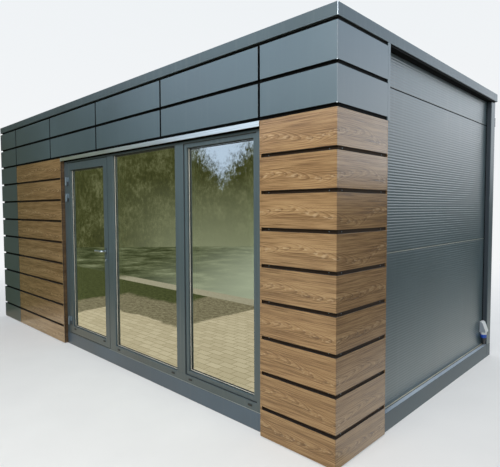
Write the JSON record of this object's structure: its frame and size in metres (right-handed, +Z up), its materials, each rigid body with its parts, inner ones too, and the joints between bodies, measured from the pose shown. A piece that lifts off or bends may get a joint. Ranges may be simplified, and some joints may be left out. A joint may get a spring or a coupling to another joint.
{
  "type": "portable office cabin",
  "caption": "Flat-roofed portable office cabin on a steel base frame, with gapped cladding rows, a glazed outward-opening door and full-height windows.",
  "frame": {"origin": "on the ground, at the middle of the overall footprint", "axes": "+X along the front to the right as seen from outside, +Y from the front to the rear, +Z up"},
  "size_m": [6, 3.1613, 2.86],
  "materials": {
    "frame_paint": "anthracite powder coat",
    "base_paint": "anthracite paint",
    "wall_panel": "fine-ribbed anthracite coated sheet",
    "plain_cladding": "flat anthracite coated sheet",
    "board_laminate": "brown wood-grain laminate",
    "roof_sheet": "dark grey coated sheet",
    "ceiling_white": "white coated sheet",
    "floor_vinyl": "grey vinyl",
    "bare_metal": "bare folded sheet",
    "glazing": "clear double glazing",
    "handle_metal": "satin",
    "inlet_white": "light grey plastic",
    "inlet_blue": "blue plastic",
    "inlet_black": "black plastic"
  },
  "bodies": {
    "cabin": {"base_rail_front": "base_paint", "base_rail_rear": "base_paint", "base_rail_left": "base_paint", "base_rail_right": "base_paint", "floor": "floor_vinyl", "post_front_left": "frame_paint", "post_front_right": "frame_paint", "post_rear_left": "frame_paint", "post_rear_right": "frame_paint", "left_wall": "wall_panel", "right_wall": "wall_panel", "rear_wall": "wall_panel", "front_wall_left": "wall_panel", "front_wall_right": "wall_panel", "front_wall_header": "wall_panel", "roof_panel": "roof_sheet", "ceiling": "ceiling_white", "roof_trim_front": "frame_paint", "roof_trim_rear": "frame_paint", "roof_trim_left": "frame_paint", "roof_trim_right": "frame_paint", "cladding_top": "plain_cladding", "cladding_left_corner": "plain_cladding", "cladding_left_boards": "board_laminate", "cladding_right_boards": "board_laminate", "drip_strip": "bare_metal", "threshold": "bare_metal", "frame_head": "frame_paint", "frame_sill": "frame_paint", "frame_jamb_left": "frame_paint", "frame_jamb_right": "frame_paint", "mullion_door": "frame_paint", "mullion_window": "frame_paint", "fixed_glass": "glazing", "sash_frame": "frame_paint", "sash_glass": "glazing", "sash_handle": "handle_metal", "hinges_frame_side": "frame_paint", "power_inlet_hood": "inlet_white", "power_inlet_ring": "inlet_blue", "power_inlet_cap": "inlet_black", "rear_outlet_box": "inlet_black"},
    "door": {"door_leaf": "frame_paint", "door_glass": "glazing", "door_lock_plates": "handle_metal", "hinges_leaf_side": "frame_paint"},
    "lever": {"door_lever": "handle_metal"}
  },
  "joints": [
    {"name": "door_hinge", "type": "hinge", "parent": "cabin", "child": "door", "pos_m": [-0.812, -1.5345, 0], "axis": [0, 0, -1], "range_deg": [0, 170]},
    {"name": "lever_turn", "type": "hinge", "parent": "door", "child": "lever", "pos_m": [0.093, -1.4845, 1.19], "axis": [0, -1, 0], "range_deg": [0, 45], "stiffness_Nm_per_rad": 1.2, "springref_deg": -22.92}
  ]
}
